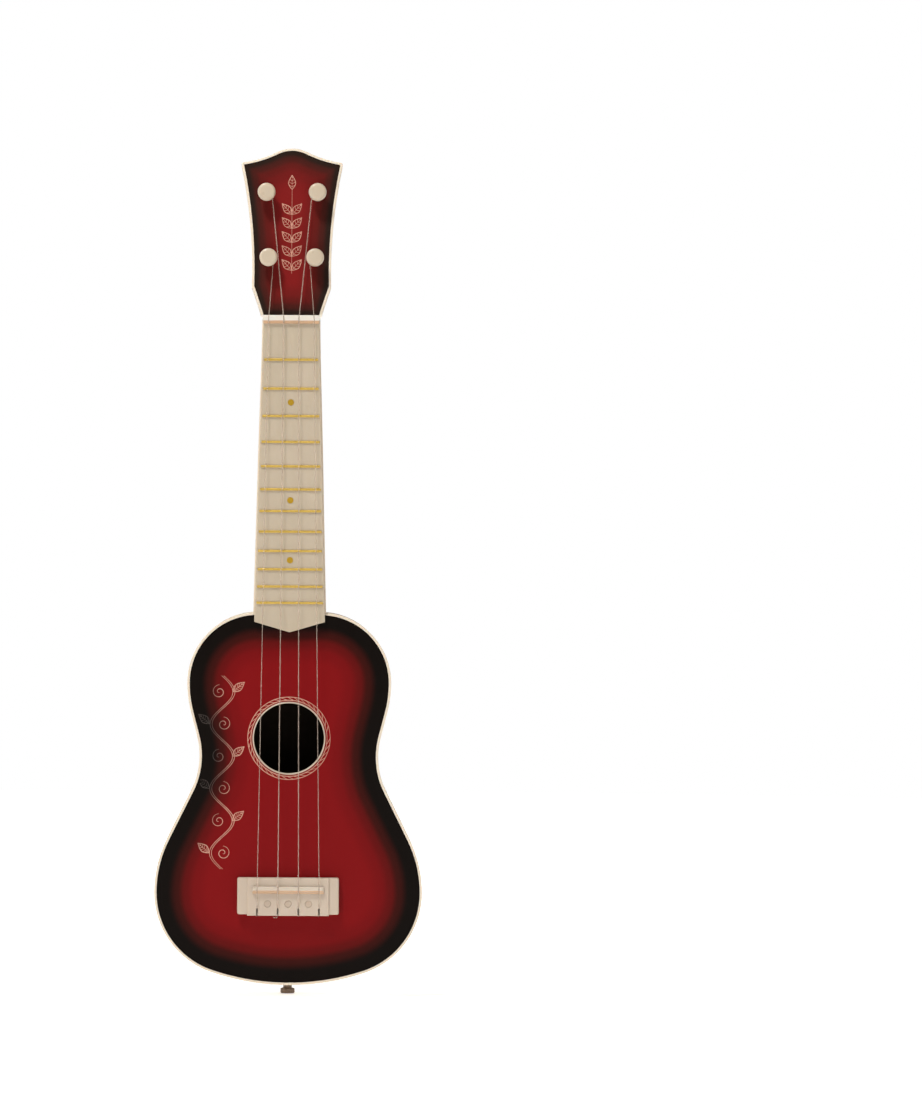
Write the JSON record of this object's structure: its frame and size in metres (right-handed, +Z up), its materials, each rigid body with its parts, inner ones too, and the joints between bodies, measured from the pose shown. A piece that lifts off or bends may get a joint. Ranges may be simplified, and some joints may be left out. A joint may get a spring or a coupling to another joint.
{
  "type": "soprano ukulele",
  "caption": "Small four-string ukulele with a waisted plastic body, round sound hole, pointed fretboard, fretted neck, tilted headstock and turning tuning pegs.",
  "frame": {"origin": "on the centre line at the nut's lower side, between the headstock's shoulders, in the plane of the soundboard's face: where a hanger's fork holds the instrument", "axes": "+Z up along the strings towards the headstock's crown, +Y from the front to the back, +X to the right seen from the front"},
  "size_m": [0.1704, 0.0665, 0.5403],
  "materials": {
    "cream_casing": "satin moulded cream plastic",
    "soundboard_print": "red to black printed film, satin, with pale line ornament",
    "headstock_print": "red to black printed film, satin, with pale line ornament",
    "fretboard": "matt moulded cream plastic",
    "fret_gold": "gold foil on moulded bars",
    "dot_gold": "gold foil on a moulded disc",
    "nut_white": "white moulded plastic",
    "bridge_cream": "cream moulded plastic",
    "peg_cream": "cream moulded plastic",
    "nylon": "clear pale nylon",
    "steel": "zinc plated steel",
    "button_cream": "cream moulded plastic",
    "inner_parts": "unpolished moulded plastic"
  },
  "bodies": {
    "root": {"back_shell": "cream_casing", "bridge": "bridge_cream", "bridge_plate": "inner_parts", "bridge_plugs": "bridge_cream", "bridge_screws": "steel", "fret_01": "fret_gold", "fret_02": "fret_gold", "fret_03": "fret_gold", "fret_04": "fret_gold", "fret_05": "fret_gold", "fret_06": "fret_gold", "fret_07": "fret_gold", "fret_08": "fret_gold", "fret_09": "fret_gold", "fret_10": "fret_gold", "fret_11": "fret_gold", "fret_12": "fret_gold", "fretboard": "fretboard", "headstock_plate": "headstock_print", "neck": "cream_casing", "neck_block": "inner_parts", "neck_screws": "steel", "nut": "nut_white", "position_dot_03": "dot_gold", "position_dot_07": "dot_gold", "position_dot_10": "dot_gold", "saddle": "nut_white", "soundboard": "soundboard_print", "soundboard_brace_lower": "inner_parts", "soundboard_brace_upper": "inner_parts", "soundhole_ring": "bridge_cream", "strap_button": "button_cream", "strap_button_screw": "steel", "string_a": "nylon", "string_c": "nylon", "string_e": "nylon", "string_g": "nylon", "tail_block": "inner_parts", "tuner_collar_a": "peg_cream", "tuner_collar_c": "peg_cream", "tuner_collar_e": "peg_cream", "tuner_collar_g": "peg_cream"},
    "tuner_g": {"tuner_post_g": "peg_cream", "tuner_knob_g": "peg_cream", "tuner_screw_g": "steel"},
    "tuner_c": {"tuner_post_c": "peg_cream", "tuner_knob_c": "peg_cream", "tuner_screw_c": "steel"},
    "tuner_e": {"tuner_post_e": "peg_cream", "tuner_knob_e": "peg_cream", "tuner_screw_e": "steel"},
    "tuner_a": {"tuner_post_a": "peg_cream", "tuner_knob_a": "peg_cream", "tuner_screw_a": "steel"}
  },
  "joints": [
    {"name": "tuner_g_turn", "type": "hinge", "parent": "root", "child": "tuner_g", "pos_m": [-0.0148, 0.00278, 0.03919], "axis": [0, -0.9954, 0.0958], "continuous": true},
    {"name": "tuner_c_turn", "type": "hinge", "parent": "root", "child": "tuner_c", "pos_m": [-0.0162, 0.0068, 0.081], "axis": [0, -0.9954, 0.0958], "continuous": true},
    {"name": "tuner_e_turn", "type": "hinge", "parent": "root", "child": "tuner_e", "pos_m": [0.0162, 0.0068, 0.081], "axis": [0, -0.9954, 0.0958], "continuous": true},
    {"name": "tuner_a_turn", "type": "hinge", "parent": "root", "child": "tuner_a", "pos_m": [0.0148, 0.00278, 0.03919], "axis": [0, -0.9954, 0.0958], "continuous": true}
  ]
}
